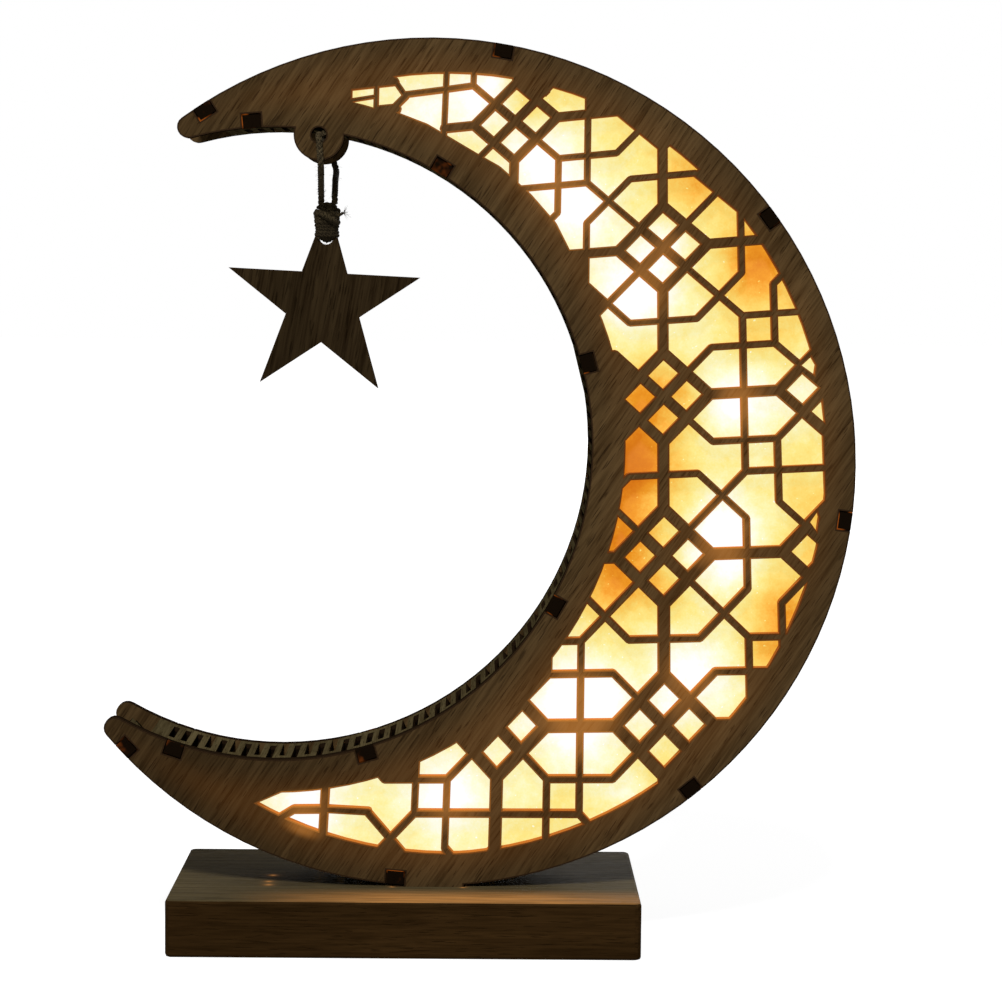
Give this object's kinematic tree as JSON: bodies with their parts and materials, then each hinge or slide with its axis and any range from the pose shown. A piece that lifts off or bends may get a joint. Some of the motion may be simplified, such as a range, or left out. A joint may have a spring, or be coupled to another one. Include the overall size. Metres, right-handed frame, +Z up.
{
  "type": "wooden night light",
  "caption": "Crescent-moon night light of laser-cut wood with a lattice front, a glowing diffuser, a hanging wooden star, a battery box behind and a block to stand on.",
  "frame": {"origin": "the centre of the base block's underside", "axes": "+X to the right seen from the front, +Y to the back, where the battery box is, +Z up"},
  "size_m": [0.1772, 0.06, 0.2137],
  "materials": {
    "panel_wood": "raw, diagonal grain",
    "band_wood": "raw, kerf-cut",
    "base_wood": "satin, long grain",
    "star_wood": "stained, upright grain",
    "diffuser_film": "frosted",
    "light_resin": "clear resin",
    "enamelled_wire": "enamelled copper",
    "jute_twine": "twisted, frayed",
    "black_plastic": "textured",
    "grey_plastic": "smooth",
    "contact_steel": "nickel plated",
    "cell_sleeve": "plain sleeve"
  },
  "bodies": {
    "lamp": {"front_panel": "panel_wood", "back_panel": "panel_wood", "outer_band": "band_wood", "inner_band": "band_wood", "base_block": "base_wood", "diffuser_sheet": "diffuser_film", "light_string": "enamelled_wire", "supply_wire": "enamelled_wire", "battery_case": "black_plastic", "switch_body": "grey_plastic", "contact_link": "contact_steel", "contact_positive": "contact_steel", "contact_negative": "contact_steel", "contact_spring_1": "contact_steel", "contact_spring_2": "contact_steel", "cell_1": "cell_sleeve", "cell_2": "cell_sleeve", "case_screw_1": "contact_steel", "case_screw_2": "contact_steel", "light_1": "light_resin", "light_2": "light_resin", "light_3": "light_resin", "light_4": "light_resin", "light_5": "light_resin", "light_6": "light_resin", "light_7": "light_resin", "light_8": "light_resin", "light_9": "light_resin", "light_10": "light_resin"},
    "twine_loop": {"twine_loop": "jute_twine"},
    "twine_turn": {"twine_turn": "jute_twine"},
    "star": {"twine_knot": "jute_twine", "wooden_star": "star_wood"},
    "battery_cover": {"battery_cover": "black_plastic"},
    "switch_knob": {"switch_knob": "grey_plastic"}
  },
  "joints": [
    {"name": "pendant_swing", "type": "hinge", "parent": "lamp", "child": "twine_loop", "pos_m": [-0.02126, 0, 0.19098], "axis": [0, 1, 0], "range_deg": [-25, 25]},
    {"name": "star_nod", "type": "hinge", "parent": "twine_loop", "child": "twine_turn", "pos_m": [-0.01996, 0, 0.17488], "axis": [1, 0, 0], "range_deg": [-20, 20]},
    {"name": "star_twist", "type": "hinge", "parent": "twine_turn", "child": "star", "pos_m": [-0.01996, 0, 0.17488], "axis": [0, 0, 1], "range_deg": [-90, 90]},
    {"name": "cover_slide", "type": "slide", "parent": "lamp", "child": "battery_cover", "axis": [0, 0, -1], "range_m": [0, 0.05]},
    {"name": "switch_slide", "type": "slide", "parent": "lamp", "child": "switch_knob", "axis": [-1, 0, 0], "range_m": [0, 0.002]}
  ]
}
